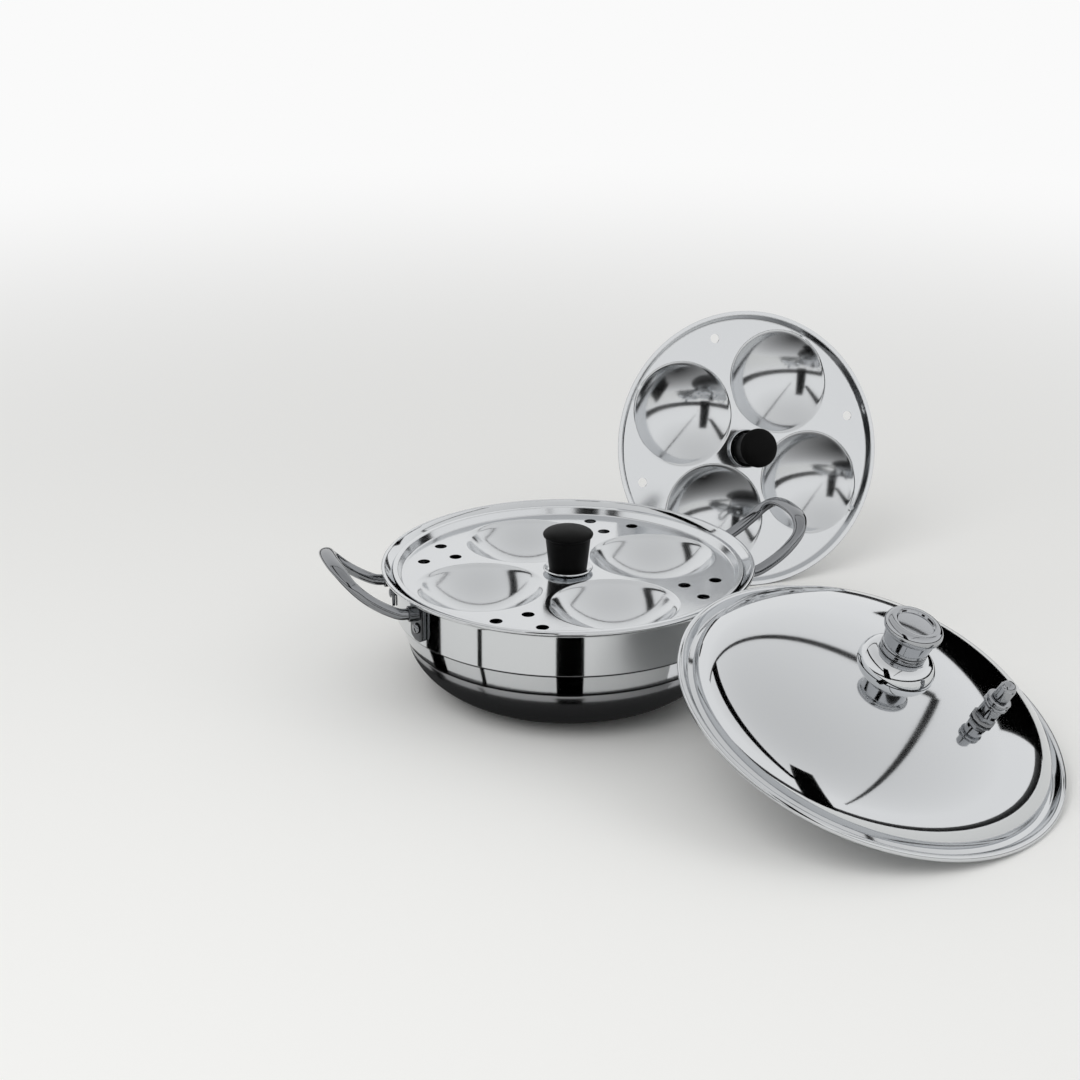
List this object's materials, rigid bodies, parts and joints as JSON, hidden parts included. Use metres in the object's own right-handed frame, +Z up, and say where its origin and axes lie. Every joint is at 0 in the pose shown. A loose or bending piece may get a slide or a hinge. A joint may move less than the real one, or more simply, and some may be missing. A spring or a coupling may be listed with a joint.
{
  "type": "kadai set",
  "caption": "Round-bottomed steel cooking vessel with riveted loop handles, cupped steaming plates with knobs, and a domed lid with a knob and steam whistle",
  "frame": {"origin": "centre of the vessel's flat base, on the underside", "axes": "+Z up along the vessel's axis, +X through the middle of the right handle, the lid on the -Y side and the standing plate on the +Y side"},
  "size_m": [0.4114, 0.449, 0.175],
  "materials": {
    "polished_steel": "mirror-polished stainless steel",
    "plate_steel": "polished pressed stainless steel",
    "fastener_steel": "plain turned steel",
    "bakelite": "moulded black, satin",
    "brass": "turned brass",
    "silicone": "moulded grey silicone"
  },
  "bodies": {
    "kadai": {"kadai_shell": "polished_steel", "left_handle": "polished_steel", "right_handle": "polished_steel", "left_front_lug": "polished_steel", "left_front_rivet": "polished_steel", "left_back_lug": "polished_steel", "left_back_rivet": "polished_steel", "right_front_lug": "polished_steel", "right_front_rivet": "polished_steel", "right_back_lug": "polished_steel", "right_back_rivet": "polished_steel"},
    "upper_plate": {"upper_plate": "plate_steel", "upper_knob_ferrule": "polished_steel", "upper_knob": "bakelite", "upper_knob_insert": "brass", "upper_knob_washer": "fastener_steel", "upper_knob_screw": "fastener_steel"},
    "lower_plate": {"lower_plate": "plate_steel", "lower_knob_ferrule": "polished_steel", "lower_knob": "bakelite", "lower_knob_insert": "brass", "lower_knob_washer": "fastener_steel", "lower_knob_screw": "fastener_steel"},
    "lid": {"lid_shell": "polished_steel", "lid_knob_skirt": "polished_steel", "lid_knob_collar": "polished_steel", "lid_knob": "polished_steel", "lid_knob_washer": "fastener_steel", "lid_knob_screw": "fastener_steel", "vent_stem": "polished_steel", "vent_gasket": "silicone", "vent_nut": "fastener_steel"},
    "whistle": {"whistle_body": "polished_steel", "whistle_cap": "polished_steel", "whistle_needle": "polished_steel"}
  },
  "joints": [
    {"name": "upper_plate_lift", "type": "slide", "parent": "kadai", "child": "upper_plate", "axis": [0, 0, 1], "range_m": [0, 0.12]},
    {"name": "lower_plate_lift", "type": "slide", "parent": "kadai", "child": "lower_plate", "axis": [0, 0, 1], "range_m": [0, 0.15]},
    {"name": "lid_lift", "type": "slide", "parent": "kadai", "child": "lid", "axis": [0, 0, 1], "range_m": [0, 0.15]},
    {"name": "whistle_lift", "type": "slide", "parent": "lid", "child": "whistle", "axis": [0.3079, -0.415, 0.8561], "range_m": [0, 0.014]}
  ]
}
